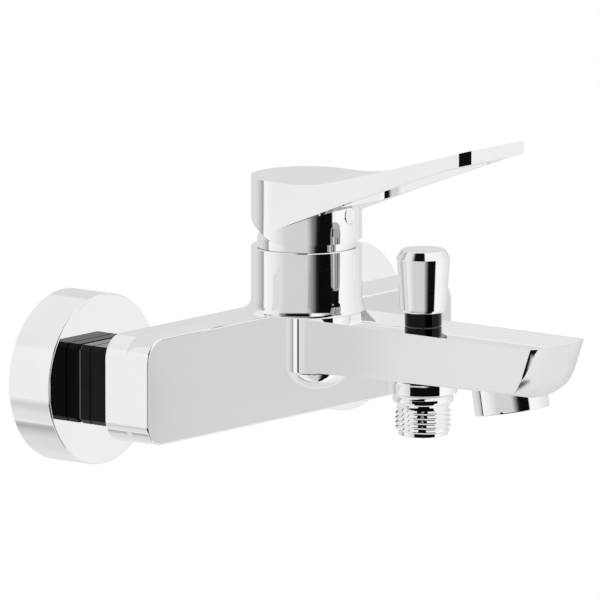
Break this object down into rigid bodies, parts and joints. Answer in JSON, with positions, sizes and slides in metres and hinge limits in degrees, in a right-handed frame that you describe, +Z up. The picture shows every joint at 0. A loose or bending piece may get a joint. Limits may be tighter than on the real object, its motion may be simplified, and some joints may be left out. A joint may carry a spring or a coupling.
{
  "type": "wall mounted bath faucet",
  "caption": "Chrome wall mounted single lever bath mixer with a bar body, open tray spout, pull-up shower diverter, hose outlet and round wall covers.",
  "frame": {"origin": "on the wall plane, midway between the two water inlets, at the height of the inlet axis", "axes": "+Y into the wall, +X to the right when facing the faucet, +Z up; the spout and lever point to -Y"},
  "size_m": [0.2148, 0.1957, 0.1248],
  "materials": {
    "chrome": "polished chrome plating on cast brass",
    "dark_chrome": "polished black chrome plating on brass",
    "raw_brass": "turned brass, not plated",
    "steel": "stainless steel",
    "rubber": "black seal rubber",
    "cartridge_plastic": "moulded engineering plastic",
    "ceramic": "lapped alumina ceramic",
    "aerator_plastic": "moulded white plastic",
    "fibre": "dark pressed fibre sealing washer"
  },
  "bodies": {
    "faucet": {"mixer_body": "chrome", "spout": "chrome", "rosette_left": "chrome", "rosette_right": "chrome", "cover_ring": "chrome", "diverter_bonnet": "chrome", "shower_nipple": "chrome", "aerator_housing": "chrome", "union_nut_left": "dark_chrome", "union_nut_right": "dark_chrome", "s_union_left": "raw_brass", "s_union_right": "raw_brass", "inlet_tail_left": "raw_brass", "inlet_tail_right": "raw_brass", "cartridge_nut": "raw_brass", "spout_bolt": "steel", "diverter_spring": "steel", "neck_seal": "rubber", "base_seals": "rubber", "stem_seal": "rubber", "filter_washer_left": "rubber", "filter_washer_right": "rubber", "aerator_gasket": "rubber", "cartridge_base": "cartridge_plastic", "cartridge_housing": "cartridge_plastic", "fixed_disc": "ceramic", "aerator_insert": "aerator_plastic", "nipple_washer": "fibre"},
    "swivel": {"spindle_carrier": "cartridge_plastic", "pivot_pin": "steel"},
    "lever": {"handle": "chrome", "spindle": "steel", "grub_screw": "steel", "screw_cap": "chrome"},
    "disc": {"moving_disc": "ceramic", "disc_coupler": "cartridge_plastic"},
    "diverter": {"diverter_knob": "chrome", "diverter_stem": "raw_brass", "piston_seals": "rubber"}
  },
  "joints": [
    {"name": "lever_swivel", "type": "hinge", "parent": "faucet", "child": "swivel", "pos_m": [0, -0.0572, 0.041], "axis": [0, 0, 1], "range_deg": [-50, 50]},
    {"name": "lever_lift", "type": "hinge", "parent": "swivel", "child": "lever", "pos_m": [0, -0.0572, 0.041], "axis": [-1, 0, 0], "range_deg": [0, 25]},
    {"name": "disc_slide", "type": "slide", "parent": "swivel", "child": "disc", "axis": [0, -1, 0], "range_m": [0, 0.0028]},
    {"name": "diverter_lift", "type": "slide", "parent": "faucet", "child": "diverter", "axis": [0, 0, 1], "range_m": [0, 0.007], "stiffness_N_per_m": 60, "springref_m": -0.01, "deforming": ["diverter_spring"]}
  ],
  "couplings": [
    {"joint": "disc_slide", "follows": "lever_lift", "m_per_rad": 0.0062}
  ]
}
